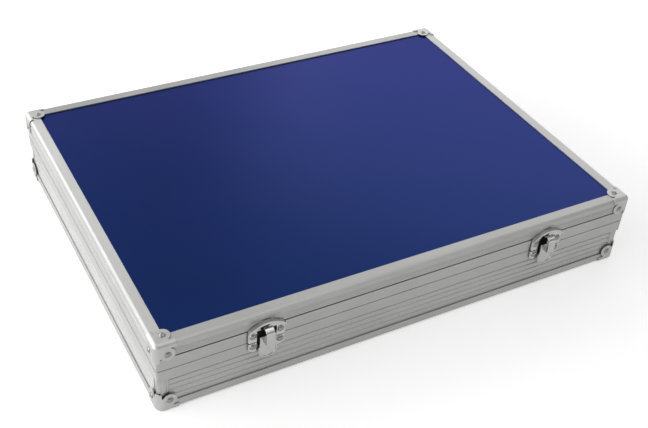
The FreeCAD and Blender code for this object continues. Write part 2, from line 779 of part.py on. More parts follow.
def cap_frame(corner, lid):
    position, turn, flip = cap_placement(corner, lid)
    rotation = FreeCAD.Rotation(FreeCAD.Vector(0, 0, 1), turn)
    if flip:
        rotation = rotation.multiply(FreeCAD.Rotation(FreeCAD.Vector(1, 0, 0), 180))
    return FreeCAD.Placement(numbers(position), rotation)


def rivets(lid):
    """All the rivets of the lid, or of the base, as one group of separate solids."""
    at = S.cap_lobe_at
    # on the base the side rivets reach in to the corner posts
    depth = ZERO if lid else S.post_inset - S.bead_height
    side_rivet = dome_rivet((S.cap_wall + depth).number)
    flat_rivet = dome_rivet(S.cap_wall.number) if lid else flush_rivet(S.cap_wall.number)
    group = []
    for corner in CORNERS:
        frame = cap_frame(corner, lid)
        group.append(aimed(flat_rivet, (at, at, 0), (0, 0, 1), frame))
        group.append(aimed(side_rivet, (at, 0, -at), (0, -1, 0), frame))
        group.append(aimed(side_rivet, (0, at, -at), (-1, 0, 0), frame))

    boss_face = S.plate_wall + S.boss_height
    height = SEAM + (S.rivet_up if lid else -S.rivet_down)
    latch_rivet = dome_rivet((boss_face + S.closure_inset).number)
    for side in (-1, 1):
        frame = wall_frame("front", side * LATCH_X)
        for end in (-1, 1):
            point = (end * S.rivet_out, -boss_face, height)
            group.append(aimed(latch_rivet, point, (0, -1, 0), frame))

    leaf_rivet = dome_rivet(S.leaf_wall.number)
    leaf_middle = (S.leaf_height + S.knuckle_radius) / 2
    height = AXIS_HEIGHT + (leaf_middle if lid else -leaf_middle)
    for side in (-1, 1):
        frame = wall_frame("back", side * HINGE_X)
        for number in range(HINGE_RIVETS):
            across = S.hinge_width * ((number + 0.5) / HINGE_RIVETS - 0.5)
            point = (across, S.closure_inset - S.leaf_wall, height)
            group.append(aimed(leaf_rivet, point, (0, -1, 0), frame))

    node = doc.addObject("Part::Feature", "lid_rivets" if lid else "base_rivets")
    node.Label = node.Name
    node.Shape = Part.makeCompound(group)
    node.Placement = FreeCAD.Placement()
    return node


# ---------------------------------------------------------------- hinges

BARREL_INSET = S.closure_inset - S.barrel_gap - S.knuckle_radius


def hinge_leaf(side_name, side, lid):
    """One leaf: a riveted plate, its tongues and the knuckles at their ends."""
    turn, _, (x, y, z) = WALLS["back"]
    body = new_body(f"hinge_{side_name}_{'lid' if lid else 'base'}_leaf")
    sign = 1 if lid else -1
    step = S.hinge_width / (BASE_KNUCKLES + LID_KNUCKLES)
    start = -S.hinge_width / 2 + (step + S.knuckle_gap if lid else 0)
    knuckle = step - (2 * S.knuckle_gap if lid else 0)
    count = LID_KNUCKLES if lid else BASE_KNUCKLES
    shoulder = AXIS_HEIGHT + sign * (S.knuckle_radius + S.barrel_gap)
    edge = AXIS_HEIGHT + sign * S.leaf_height
    half = S.hinge_width / 2

    tongues = []
    for number in range(count):
        left = start + 2 * number * step
        tongues += [
            (left, shoulder),
            (left, AXIS_HEIGHT),
            (left + knuckle, AXIS_HEIGHT),
            (left + knuckle, shoulder),
        ]
    if lid:
        outline = [(-half, edge), (-half, shoulder), *tongues, (half, shoulder), (half, edge)]
    else:
        # the outer knuckles end flush with the plate
        outline = [(-half, edge), *tongues[1:-1], (half, edge)]
    sketch = new_sketch(body, "XZ_Plane", -S.closure_inset)
    add_outline(sketch, outline)
    add_pad(body, sketch, S.leaf_wall)

    sketch = new_sketch(body, "YZ_Plane", start)
    add_circle(sketch, BARREL_INSET, AXIS_HEIGHT, S.knuckle_radius)
    # the pin is tight in the base leaf and turns in the lid's
    add_circle(sketch, BARREL_INSET, AXIS_HEIGHT, S.hinge_pin + (S.pin_gap if lid else 0))
    knuckle_pad = add_pad(body, sketch, knuckle)
    row = body.newObject("PartDesign::LinearPattern", f"{body.Label}_row")
    row.Originals = [knuckle_pad]
    row.Direction = (sketch, ["N_Axis"])
    row.setExpression("Length", (2 * step * (count - 1)).text)
    row.Occurrences = count
    body.Tip = row

    sketch = new_sketch(body, "XZ_Plane")
    rivet_height = AXIS_HEIGHT + sign * (S.leaf_height + S.knuckle_radius) / 2
    for number in range(HINGE_RIVETS):
        across = S.hinge_width * ((number + 0.5) / HINGE_RIVETS - 0.5)
        add_circle(sketch, across, rivet_height, S.rivet_shank + S.rivet_gap)
    add_pocket(body, sketch)
    place(body, (x + side * HINGE_X, y, z), turn)
    return body


def hinge_pin(side_name, side):
    """A plain pin with a small head at each end."""
    turn, _, (x, y, z) = WALLS["back"]
    body = new_body(f"hinge_{side_name}_pin")
    half = S.hinge_width / 2
    head = S.knuckle_gap + S.pin_head_height
    sketch = new_sketch(body, "XY_Plane")
    add_outline(sketch, [
        (-half - head, ZERO),
        (-half - head, S.knuckle_radius - S.pin_head_height),
        (-half - S.knuckle_gap, S.knuckle_radius - S.pin_head_height),
        (-half - S.knuckle_gap, S.hinge_pin),
        (half + S.knuckle_gap, S.hinge_pin),
        (half + S.knuckle_gap, S.knuckle_radius - S.pin_head_height),
        (half + head, S.knuckle_radius - S.pin_head_height),
        (half + head, ZERO),
    ])
    add_revolution(body, sketch, "H_Axis")
    place(body, (x + side * HINGE_X, y - BARREL_INSET, AXIS_HEIGHT), turn)
    return body


# ---------------------------------------------------------------- latches

CATCH_TOP = SEAM + S.catch_top
PIVOT_HEIGHT = SEAM + S.pivot_up


def latch_place(body, side, height=ZERO, out=ZERO):
    place(body, (side * LATCH_X, -HALF_DEPTH - out, height))


def add_rivet_holes(sketch, height):
    for end in (-1, 1):
        add_circle(sketch, end * S.rivet_out, height, S.rivet_shank + S.rivet_gap)


def add_bosses(body, height):
    """Raised rings round the two rivets of a latch plate."""
    sketch = new_sketch(body, "XZ_Plane", S.plate_wall)
    for end in (-1, 1):
        add_circle(sketch, end * S.rivet_out, height, S.boss_radius)
    add_rivet_holes(sketch, height)
    add_pad(body, sketch, S.boss_height)


def keeper(side_name, side):
    """The lid's plate: an arched frame with a raised rim, rivet bosses and the lip."""
    body = new_body(f"latch_{side_name}_keeper")
    half = S.latch_width / 2
    window = S.window_half
    bottom = LID_SEAM + S.plate_split
    window_top = SEAM + S.window_top
    shoulder = SEAM + S.keeper_shoulder
    arch = (half * half + S.keeper_arch * S.keeper_arch) / (2 * S.keeper_arch)
    corner = S.keeper_radius
    height = SEAM + S.rivet_up
    sketch = new_sketch(body, "XZ_Plane")
    add_outline(sketch, [
        (-half + corner, bottom),
        (-window, bottom),
        (-window, window_top),
        (window, window_top),
        (window, bottom),
        (half - corner, bottom, corner),
        (half, bottom + corner),
        (half, shoulder, arch),
        (-half, shoulder),
        (-half, bottom + corner, corner),
    ])
    add_rivet_holes(sketch, height)
    add_pad(body, sketch, S.plate_wall)

    sketch = new_sketch(body, "XZ_Plane", S.plate_wall)
    add_outline(sketch, [
        (half, shoulder, arch),
        (-half, shoulder),
        (-half, shoulder - S.keeper_rim, -arch),
        (half, shoulder - S.keeper_rim),
    ])
    add_pad(body, sketch, S.keeper_rim_height)
    add_bosses(body, height)

    # the lip that the catch hooks over, seen from the side
    sketch = new_sketch(body, "YZ_Plane")
    under = SEAM + S.keeper_lip_at
    lip_top = CATCH_TOP - S.catch_wall - S.hook_gap
    end = -S.keeper_lip_reach
    add_outline(sketch, [
        (-S.plate_wall / 2, under),
        (end, under),
        (end, lip_top),
        (end + S.lip_sheet, lip_top),
        (end + S.lip_sheet, under + S.lip_sheet),
        (-S.plate_wall / 2, under + S.lip_sheet),
    ])
    add_pad(body, sketch, S.keeper_lip_width, symmetric=True)
    latch_place(body, side)
    return body


def base_plate(side_name, side):
    """The base's plate: rounded wings, rivet bosses and the ears of the pivot."""
    body = new_body(f"latch_{side_name}_plate")
    half = S.latch_width / 2
    window = S.window_half
    tongue = S.ear_inside + S.ear_wall + S.hook_gap
    top = SEAM - S.plate_split
    window_bottom = SEAM - S.window_bottom
    bottom = SEAM - S.wing_drop
    corner = S.wing_radius
    height = SEAM - S.rivet_down
    sketch = new_sketch(body, "XZ_Plane")
    add_outline(sketch, [
        (-half + corner, bottom),
        (half - corner, bottom, corner),
        (half, bottom + corner),
        (half, top),
        (window, top),
        (window, window_bottom),
        (tongue, window_bottom),
        (tongue, top),
        (-tongue, top),
        (-tongue, window_bottom),
        (-window, window_bottom),
        (-window, top),
        (-half, top),
        (-half, bottom + corner, corner),
    ])
    add_rivet_holes(sketch, height)
    add_pad(body, sketch, S.plate_wall)
    add_bosses(body, height)

    # an ear, seen from the side: it leans out behind the tab and ends round the pin
    sketch = new_sketch(body, "YZ_Plane", S.ear_inside)
    root = SEAM - S.ear_root
    out = -S.pivot_out
    radius = S.ear_radius
    add_outline(sketch, [
        (-S.plate_wall / 2, root),
        (-S.plate_wall, root),
        (-S.ear_back, PIVOT_HEIGHT - radius * HALF_ROOT),
        (out + radius * HALF_ROOT, PIVOT_HEIGHT - radius * HALF_ROOT, -radius),
        (out - radius, PIVOT_HEIGHT, -radius),
        (out, PIVOT_HEIGHT + radius),
        (-S.plate_wall / 2, PIVOT_HEIGHT + radius),
    ])
    add_circle(sketch, out, PIVOT_HEIGHT, S.pivot_radius)
    add_mirrored_pad(body, sketch, S.ear_wall)
    latch_place(body, side)
    return body


def latch_pad(side_name, side, lid):
    """The black pad between a latch plate and its closing rail."""
    body = new_body(f"latch_{side_name}_{'lid' if lid else 'base'}_pad")
    half = S.latch_width / 2 - S.pad_gap
    sketch = new_sketch(body, "XZ_Plane", -S.closure_inset)
    if lid:
        add_outline(sketch, [
            (-half, LID_SEAM),
            (half, LID_SEAM),
            (half, LID_BAND_TOP),
            (-half, LID_BAND_TOP),
        ])
        add_rivet_holes(sketch, SEAM + S.rivet_up)
    else:
        bottom = SEAM - S.wing_drop + S.pad_gap
        corner = S.wing_radius - S.pad_gap
        add_outline(sketch, [
            (-half + corner, bottom),
            (half - corner, bottom, corner),
            (half, bottom + corner),
            (half, SEAM),
            (-half, SEAM),
            (-half, bottom + corner, corner),
        ])
        add_rivet_holes(sketch, SEAM - S.rivet_down)
    add_pad(body, sketch, S.closure_inset)
    latch_place(body, side)
    return body


def catch(side_name, side):
    """The moving catch: a pressed channel with a hook on top and a round thumb tab."""
    body = new_body(f"latch_{side_name}_catch")
    foot = SEAM
    top = CATCH_TOP
    front = -S.catch_out
    wall = S.catch_wall
    bend = S.catch_bend
    back = -S.tab_back
    hook = -S.hook_back
    flank_top = SEAM + S.flank_top
    inside = S.catch_width / 2 - wall

    # bent strap, seen from the side: foot, front, bend and hook
    sketch = new_sketch(body, "YZ_Plane")
    add_outline(sketch, [
        (back, foot),
        (back, foot + wall),
        (front + wall + wall, foot + wall, -wall),
        (front + wall, foot + wall + wall),
        (front + wall, top - bend, -(bend - wall)),
        (front + bend, top - wall),
        (hook, top - wall),
        (hook, top),
        (front + bend, top, bend),
        (front, top - bend),
        (front, foot + wall, wall),
        (front + wall, foot),
    ])
    add_pad(body, sketch, S.catch_width, symmetric=True)

    # side walls with the pivot holes
    sketch = new_sketch(body, "YZ_Plane", inside)
    add_outline(sketch, [
        (back, foot),
        (back, flank_top),
        (-S.cheek_corner, SEAM + S.cheek_top),
        (hook, top - wall - S.hook_depth),
        (hook, top - wall),
        (front + bend, top - wall, bend - wall),
        (front + wall, top - bend),
        (front + wall, foot),
    ])
    add_circle(sketch, -S.pivot_out, PIVOT_HEIGHT, S.pivot_radius + S.pin_gap)
    add_mirrored_pad(body, sketch, wall)

    # round thumb tab and the flat above it, open between the side walls
    middle = SEAM - S.tab_below
    flank = S.flank_half
    reach = math.sqrt(S.tab_radius.number ** 2 - flank.number ** 2)
    meet = middle + Dim(reach, f"sqrt({(S.tab_radius * S.tab_radius - flank * flank).text})")
    sketch = new_sketch(body, "XZ_Plane", S.tab_back)
    add_outline(sketch, [
        (-flank, meet, S.tab_radius),
        (ZERO, middle - S.tab_radius, S.tab_radius),
        (flank, meet),
        (flank, flank_top),
        (inside, flank_top),
        (inside, foot + wall / 2),
        (-inside, foot + wall / 2),
        (-inside, flank_top),
        (-flank, flank_top),
    ])
    add_pad(body, sketch, S.tab_wall)
    sketch = new_sketch(body, "XZ_Plane", S.tab_back + S.tab_wall)
    add_circle(sketch, ZERO, middle, S.tab_radius - S.tab_rim)
    add_pocket(body, sketch, S.tab_dish)
    latch_place(body, side)
    return body


def catch_pin(side_name, side):
    """The pin through the ears and the catch, flush with the catch's sides."""
    body = new_body(f"latch_{side_name}_pin")
    end = S.catch_width / 2
    sketch = new_sketch(body, "XY_Plane")
    add_outline(sketch, [
        (-end, ZERO),
        (-end, S.pivot_radius),
        (end, S.pivot_radius),
        (end, ZERO),
    ])
    add_revolution(body, sketch, "H_Axis")
    latch_place(body, side, PIVOT_HEIGHT, S.pivot_out)
    return body


# ---------------------------------------------------------------- the whole case

def build():
    nodes = list(make_rails())
    nodes += list(make_sheets())
    nodes += [panel(wall) for wall in WALLS]
    nodes += [post(corner) for corner in CORNERS]
    nodes += [cap(corner, lid) for lid in (True, False) for corner in CORNERS]
    nodes += [rivets(True), rivets(False)]
    for side_name, side in (("left", -1), ("right", 1)):
        nodes += [hinge_leaf(side_name, side, True), hinge_leaf(side_name, side, False)]
        nodes += [hinge_pin(side_name, side)]
        nodes += [keeper(side_name, side), base_plate(side_name, side)]
        nodes += [latch_pad(side_name, side, True), latch_pad(side_name, side, False)]
        nodes += [catch(side_name, side), catch_pin(side_name, side)]
    return nodes


def check(nodes):
    """Stop if a feature failed, or if a node's shape is missing or broken."""
    for item in doc.Objects:
        if "Invalid" in item.State or "Error" in item.State:
            raise RuntimeError(f"{item.Name} ({item.Label}) is {item.State}")
    for node in nodes:
        if node.Shape.isNull() or not node.Shape.isValid():
            raise RuntimeError(f"{node.Label} has no valid shape")


def write(nodes):
    os.makedirs("parts", exist_ok=True)
    for node in nodes:
        node.Shape.exportStep(f"parts/{node.Label}.step")


case_nodes = build()
doc.recompute()
check(case_nodes)
write(case_nodes)
print(f"{len(case_nodes)} nodes written")
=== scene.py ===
import math

import bmesh
import bpy
from bpy.props import FloatProperty, FloatVectorProperty, PointerProperty
from mathutils import Matrix, Vector


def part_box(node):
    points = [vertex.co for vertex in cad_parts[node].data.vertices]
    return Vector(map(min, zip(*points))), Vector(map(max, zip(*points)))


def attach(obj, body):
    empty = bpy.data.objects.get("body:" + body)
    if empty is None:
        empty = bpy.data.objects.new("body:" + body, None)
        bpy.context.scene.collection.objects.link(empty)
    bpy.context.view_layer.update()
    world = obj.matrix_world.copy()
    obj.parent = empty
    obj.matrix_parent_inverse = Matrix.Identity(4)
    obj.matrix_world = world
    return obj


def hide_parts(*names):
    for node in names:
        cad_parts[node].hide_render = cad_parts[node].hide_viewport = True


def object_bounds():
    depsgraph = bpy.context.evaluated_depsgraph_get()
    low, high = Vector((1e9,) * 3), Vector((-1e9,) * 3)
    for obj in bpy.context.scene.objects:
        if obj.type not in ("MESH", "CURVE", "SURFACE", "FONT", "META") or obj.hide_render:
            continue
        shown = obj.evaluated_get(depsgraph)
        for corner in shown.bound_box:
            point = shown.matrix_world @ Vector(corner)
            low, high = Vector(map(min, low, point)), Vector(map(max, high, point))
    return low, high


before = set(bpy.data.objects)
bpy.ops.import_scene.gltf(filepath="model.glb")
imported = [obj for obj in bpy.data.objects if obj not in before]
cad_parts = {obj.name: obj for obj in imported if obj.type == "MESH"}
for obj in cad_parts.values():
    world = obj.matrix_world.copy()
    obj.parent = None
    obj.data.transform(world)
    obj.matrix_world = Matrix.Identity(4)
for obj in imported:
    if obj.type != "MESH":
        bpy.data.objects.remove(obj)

bl_info = {
    "name": "Attache case looks",
    "version": (1, 0, 0),
    "blender": (4, 5, 0),
    "location": "3D View > Sidebar > Attache case",
    "description": "Finishes, linings, studio and camera for the aluminium attache case",
    "category": "Object",
}

CAD_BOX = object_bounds()
MM = 0.001
WALLS_ALONG_LENGTH = ("front", "back")
WALLS_ALONG_DEPTH = ("left", "right")

# How far the painted shade reaches from a seam or an edge: the metal's colour is darkened where
# ambient occlusion finds them
RAIL_PAINTED_SHADE_REACH = 1.5 * MM
RIB_PAINTED_SHADE_REACH = 0.4 * MM
PLATING_PAINTED_SHADE_REACH = 0.8 * MM

# Plated finishes: the name, the brightness against the plating colour, the roughness,
# and the depth of the waves in the metal
PLATED = {
    "caps": ("pressed_satin_nickel_plated_cap", 1.04, 0.4, 0.05 * MM),
    "catches": ("pressed_bright_nickel_plated_catch", 1.06, 0.06, 0.01 * MM),
    "plates": ("stamped_bright_nickel_plated_plate", 1.1, 0.09, 0.02 * MM),
    "rivets": ("domed_nickel_plated_rivet", 0.8, 0.12, 0.02 * MM),
    "leaves": ("stamped_nickel_plated_hinge_leaf", 0.93, 0.24, 0.03 * MM),
    "pins": ("drawn_steel_pin", 0.85, 0.28, 0.01 * MM),
}

CORNER_STEPS = 6                  # flats round a lining's upright corner
FOLD_STEPS = 5                    # flats round a lining's fold
SMOOTH_ANGLE = math.radians(35)   # softer turns than this on a lining are shaded smooth

FLOOR_WIDTH = 8.0                 # metres
FLOOR_DROP = 0.02 * MM            # keeps the floor just under the case
LAMPLIT_REACH = 0.5               # metres from the middle, where the lamps start to fade
LAMPLIT_END = 1.4                 # metres from the middle, where the floor is white by itself
NEAR_GLOW = 0.5                   # the floor's own glow round the case
FAR_GLOW = 1.0                    # and far from it
MIRRORED_GLOW = 0.6               # share of the floor's glow that metal sees
BACKDROP_FADE = (0.02, 0.22)      # sine of the height where the white backdrop starts and ends
WHITE = (1, 1, 1, 1)


# ---------------------------------------------------------------- colours

def srgb(text):
    """The three sRGB values of a colour given as hex text."""
    return tuple(int(text[i:i + 2], 16) / 255 for i in (1, 3, 5))


def linear(colour):
    """The linear values of an sRGB colour, given as hex text or as three values."""
    if isinstance(colour, str):
        colour = srgb(colour)
    return (*(c / 12.92 if c <= 0.04045 else ((c + 0.055) / 1.055) ** 2.4 for c in colour), 1.0)


def shade(colour, factor):
    """A lighter or darker version of an sRGB colour."""
    return [min(1.0, c * factor) for c in colour]


# ---------------------------------------------------------------- settings

class FinishSettings(bpy.types.PropertyGroup):
    """Colours and roughness of the case's finishes."""

    rail_colour: FloatVectorProperty(
        name="Rail colour", description="Anodised rails and ribbed sides",
        subtype="COLOR_GAMMA", size=3, default=srgb("#bcbcbb"))
    sheet_colour: FloatVectorProperty(
        name="Sheet colour", description="Blue sheet of the lid and the floor",
        subtype="COLOR_GAMMA", size=3, default=srgb("#002b67"))
    plate_colour: FloatVectorProperty(
        name="Plating colour", description="Nickel plating of caps, catches and hinges",
        subtype="COLOR_GAMMA", size=3, default=srgb("#bcbcbb"))
    lining_colour: FloatVectorProperty(
        name="Lining colour", description="Flocked lining inside",
        subtype="COLOR_GAMMA", size=3, default=srgb("#1c1c1f"))
    rail_roughness: FloatProperty(
        name="Rail roughness", description="Satin anodising, 0 is a mirror",
        default=0.48, min=0.0, max=1.0)
    rail_stretch: FloatProperty(
        name="Rail stretch", description="How far highlights smear across the drawn lines",
        default=0.55, min=0.0, max=1.0)
    edge_radius: FloatProperty(
        name="Edge rounding", description="Radius that cut metal edges catch the light with",
        subtype="DISTANCE", unit="LENGTH", default=0.25 * MM, min=0.0, max=2 * MM)
    pressed_radius: FloatProperty(
        name="Pressed edge rounding",
        description="Radius that the edges of pressed and plated pieces catch the light with",
        subtype="DISTANCE", unit="LENGTH", default=0.5 * MM, min=0.0, max=2 * MM)


class LiningSettings(bpy.types.PropertyGroup):
    """Sizes of the linings."""

    wall: FloatProperty(
        name="Wall", description="Thickness of the flocked card",
        subtype="DISTANCE", unit="LENGTH", default=1.2 * MM, min=0.5 * MM, max=3 * MM)
    corner: FloatProperty(
        name="Corner", description="Rounding of the upright corners inside",
        subtype="DISTANCE", unit="LENGTH", default=4.0 * MM, min=0.5 * MM, max=20 * MM)
    fold: FloatProperty(
        name="Fold", description="Rounding where the walls meet the floor or ceiling",
        subtype="DISTANCE", unit="LENGTH", default=2.5 * MM, min=0.5 * MM, max=10 * MM)


class StudioSettings(bpy.types.PropertyGroup):
    """Camera and lights."""

    azimuth: FloatProperty(
        name="Azimuth", description="Camera's turn from straight in front, to the left",
        subtype="ANGLE", default=math.radians(30.738))
    elevation: FloatProperty(
        name="Elevation", description="Camera's height above the horizon",
        subtype="ANGLE", default=math.radians(38.1215))
    roll: FloatProperty(
        name="Roll", description="Camera's tilt about its line of sight",
        subtype="ANGLE", default=math.radians(4.330))
    distance: FloatProperty(
        name="Distance", description="From the camera to the point that it aims at",
        subtype="DISTANCE", unit="LENGTH", default=0.83311)
    aim: FloatVectorProperty(
        name="Aim", description="Point that the camera looks at, from the case's middle",
        subtype="TRANSLATION", unit="LENGTH", size=3, default=(-0.01412, -0.03772, -0.0006))
    lens: FloatProperty(
        name="Lens", description="Focal length on a sensor 36 mm wide, in millimetres",
        default=57.4375, min=20.0, max=200.0)
    key_power: FloatProperty(
        name="Key", description="Power of the wide soft light on the left, behind the case",
        subtype="POWER", unit="POWER", default=14.5, min=0.0)
    side_power: FloatProperty(
        name="Side", description="Power of the low soft light on the left",
        subtype="POWER", unit="POWER", default=16.0, min=0.0)
    back_power: FloatProperty(
        name="Back", description="Power of the low soft light behind the case",
        subtype="POWER", unit="POWER", default=1.53, min=0.0)
    corner_power: FloatProperty(
        name="Corner", description="Power of the wide soft light behind the far corner",
        subtype="POWER", unit="POWER", default=4.4, min=0.0)
    fill_power: FloatProperty(
        name="Fill", description="Power of the large soft light overhead, in front",
        subtype="POWER", unit="POWER", default=3.8, min=0.0)
    top_power: FloatProperty(
        name="Top", description="Power of the soft light straight above",
        subtype="POWER", unit="POWER", default=3.2, min=0.0)
    rear_power: FloatProperty(
        name="Rear", description="Power of the soft light behind, a little to the left",
        subtype="POWER", unit="POWER", default=4.9, min=0.0)
    room_light: FloatProperty(
        name="Room", description="White of the room above the backdrop, as metal mirrors it",
        default=0.4, min=0.0, max=1.0)
    light_distance: FloatProperty(
        name="Light distance", description="From the case to each soft light",
        subtype="DISTANCE", unit="LENGTH", default=1.6, min=0.5, max=5.0)


# ---------------------------------------------------------------- small helpers

def feed(tree, node, inputs):
    """Fill a node's inputs: a socket is linked, anything else is a value."""
    for name, value in inputs.items():
        if isinstance(value, bpy.types.NodeSocket):
            tree.links.new(value, node.inputs[name])
        else:
            node.inputs[name].default_value = value


def add_node(tree, kind, inputs=None, **settings):
    """Add a shader node. Its inputs take values, or sockets to link."""
    made = tree.nodes.new(kind)
    for name, value in settings.items():
        setattr(made, name, value)
    feed(tree, made, inputs or {})
    return made


def new_material(name):
    """An empty node material: its tree, and the principled shader at its end."""
    material = bpy.data.materials.new(name)
    material.use_nodes = True
    tree = material.node_tree
    tree.nodes.clear()
    shader = tree.nodes.new("ShaderNodeBsdfPrincipled")
    add_node(tree, "ShaderNodeOutputMaterial", {"Surface": shader.outputs["BSDF"]})
    return material, tree, shader


def stretched(tree, size):
    """Object coordinates divided by a feature's real size along X, Y and Z, in metres."""
    coordinates = add_node(tree, "ShaderNodeTexCoord")
    return add_node(
        tree, "ShaderNodeMapping",
        {"Vector": coordinates.outputs["Object"], "Scale": [1 / s for s in size]},
    ).outputs["Vector"]


def with_painted_shade(tree, colour, reach):
    """A colour with painted shade: darkened towards a dark brown where ambient occlusion finds
    seams and edges within a reach.
    """
    open_air = add_node(
        tree, "ShaderNodeAmbientOcclusion", {"Distance": reach}, samples=6)
    unshaded = add_node(tree, "ShaderNodeMapRange", {
        "Value": open_air.outputs["AO"], "From Min": 0.1, "From Max": 0.85})
    # the dark brown is the colour of the painted shade in occluded seams and grooves
    return add_node(tree, "ShaderNodeMix", {
        0: unshaded.outputs[0], 6: linear("#2b2a28"), 7: colour}, data_type="RGBA").outputs[2]


def finish(nodes, material):
    """Give CAD nodes one material all over."""
    for name in nodes:
        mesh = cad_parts[name].data
        mesh.materials.clear()
        mesh.materials.append(material)


def nodes_named(*beginnings):
    """The CAD nodes whose names begin with any of these."""
    return [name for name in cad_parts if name.startswith(beginnings)]


def settle(piece, body, slot, *replaced):
    """Ride a finished piece on its body, in place of the CAD nodes it stands for."""
    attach(piece, body)
    if replaced:
        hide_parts(*replaced)


def start_piece(name, size, centre):
    """A cube primitive of a size and place, in edit mode, with nothing selected."""
    bpy.ops.object.select_all(action="DESELECT")
    bpy.ops.mesh.primitive_cube_add(size=1, location=centre)
    piece = bpy.context.object
    piece.name = name
    piece.data.name = name
    piece.scale = size
    bpy.ops.object.transform_apply(location=True, rotation=True, scale=True)
    bpy.ops.object.mode_set(mode="EDIT")
    bpy.ops.mesh.select_all(action="DESELECT")
    return piece


def select_where(piece, kind, test):
    """Select the vertices, edges or faces of a piece in edit mode that pass a test."""
    bpy.ops.mesh.select_all(action="DESELECT")
    bpy.ops.mesh.select_mode(type={"verts": "VERT", "edges": "EDGE", "faces": "FACE"}[kind])
    mesh = bmesh.from_edit_mesh(piece.data)
    for part in getattr(mesh, kind):
        if test(part):
            part.select_set(True)
    mesh.select_flush_mode()
    bmesh.update_edit_mesh(piece.data)


# ---------------------------------------------------------------- metals

def satin_aluminium(name, colour, along, roughness, shade_reach):
    """Extruded aluminium, brushed along its length and anodised.

    Fine drawn lines run along the profile. The oxide is matt, a little uneven in tone,
    and its cut edges catch the light.
    """
    material, tree, shader = new_material(name)
    settings = bpy.context.scene.case_finish
    across = 0.7 * MM            # real lines are finer: drawn as coarse as they need to show
    line = [45 * MM if axis == along else across for axis in "XYZ"]
    lines = add_node(tree, "ShaderNodeTexNoise", {
        "Vector": stretched(tree, line), "Scale": 1.0, "Detail": 3.0, "Roughness": 0.6})
    cloud = add_node(tree, "ShaderNodeTexNoise", {
        "Vector": stretched(tree, [60 * MM] * 3), "Scale": 1.0, "Detail": 4.0})
    tone = add_node(tree, "ShaderNodeMath", {
        0: lines.outputs["Fac"], 1: cloud.outputs["Fac"]}, operation="ADD")
    tone = add_node(tree, "ShaderNodeMapRange", {
        "Value": tone.outputs[0], "From Min": 0.75, "From Max": 1.25})
    colours = add_node(tree, "ShaderNodeMix", {
        0: tone.outputs[0], 6: linear(shade(colour, 0.975)), 7: linear(shade(colour, 1.025))},
        data_type="RGBA")
    rough = add_node(tree, "ShaderNodeMapRange", {
        "Value": lines.outputs["Fac"], "From Min": 0.3, "From Max": 0.7,
        "To Min": roughness - 0.04, "To Max": roughness + 0.04})
    edge = add_node(tree, "ShaderNodeBevel", {"Radius": settings.edge_radius}, samples=4)
    relief = add_node(tree, "ShaderNodeBump", {
        "Height": lines.outputs["Fac"], "Strength": 0.12, "Distance": 0.02 * MM,
        "Normal": edge.outputs["Normal"]})
    drawn = add_node(tree, "ShaderNodeVectorTransform", {
        "Vector": [float(axis == along) for axis in "XYZ"]},
        vector_type="VECTOR", convert_from="OBJECT", convert_to="WORLD")
    feed(tree, shader, {
        # painted shade: the colour darkens in seams, grooves and recesses, found by ambient
        # occlusion
        "Base Color": with_painted_shade(tree, colours.outputs[2], shade_reach),
        "Roughness": rough.outputs[0],
        "Normal": relief.outputs["Normal"],
        "Tangent": drawn.outputs[0],
        "Metallic": 1.0,
        "Anisotropic": settings.rail_stretch,
        "Anisotropic Rotation": 0.25,     # a quarter turn smears light across the lines
    })
    return material


def nickel_plated_steel(name, colour, roughness, wave):
    """Steel, pressed or drawn, polished and nickel plated.

    Bright, with the slight waviness of formed metal and faint smears from handling.
    """
    material, tree, shader = new_material(name)
    settings = bpy.context.scene.case_finish
    waves = add_node(tree, "ShaderNodeTexNoise", {
        "Vector": stretched(tree, [6 * MM] * 3), "Scale": 1.0, "Detail": 1.0})
    smear = add_node(tree, "ShaderNodeTexNoise", {
        "Vector": stretched(tree, [2.5 * MM, 2.5 * MM, 1.2 * MM]), "Scale": 1.0, "Detail": 5.0})
    colours = add_node(tree, "ShaderNodeMix", {
        0: smear.outputs["Fac"], 6: linear(shade(colour, 0.95)), 7: linear(shade(colour, 1.02))},
        data_type="RGBA")
    rough = add_node(tree, "ShaderNodeMapRange", {
        "Value": smear.outputs["Fac"], "From Min": 0.35, "From Max": 0.7,
        "To Min": roughness, "To Max": roughness + 0.12})
    edge = add_node(tree, "ShaderNodeBevel", {"Radius": settings.pressed_radius}, samples=6)
    relief = add_node(tree, "ShaderNodeBump", {
        "Height": waves.outputs["Fac"], "Strength": 1.0, "Distance": wave,
        "Normal": edge.outputs["Normal"]})
    feed(tree, shader, {
        # painted shade: the colour darkens in seams and recesses, found by ambient occlusion
        "Base Color": with_painted_shade(tree, colours.outputs[2], PLATING_PAINTED_SHADE_REACH),
        "Roughness": rough.outputs[0],
        "Normal": relief.outputs["Normal"],
        "Metallic": 1.0,
    })
    return material


def black_rubber_shade_pad(name):
    """Matt black rubber sheet, a little dusty. On the latch pads its black is painted shade,
    standing for the dark hollow behind each catch.
    """
    material, tree, shader = new_material(name)
    dust = add_node(tree, "ShaderNodeTexNoise", {
        "Vector": stretched(tree, [3 * MM] * 3), "Scale": 1.0, "Detail": 5.0})
    colours = add_node(tree, "ShaderNodeMix", {
        0: dust.outputs["Fac"], 6: linear("#0c0c0d"), 7: linear("#1c1c1d")}, data_type="RGBA")
    feed(tree, shader, {"Base Color": colours.outputs[2], "Roughness": 0.6})
    return material


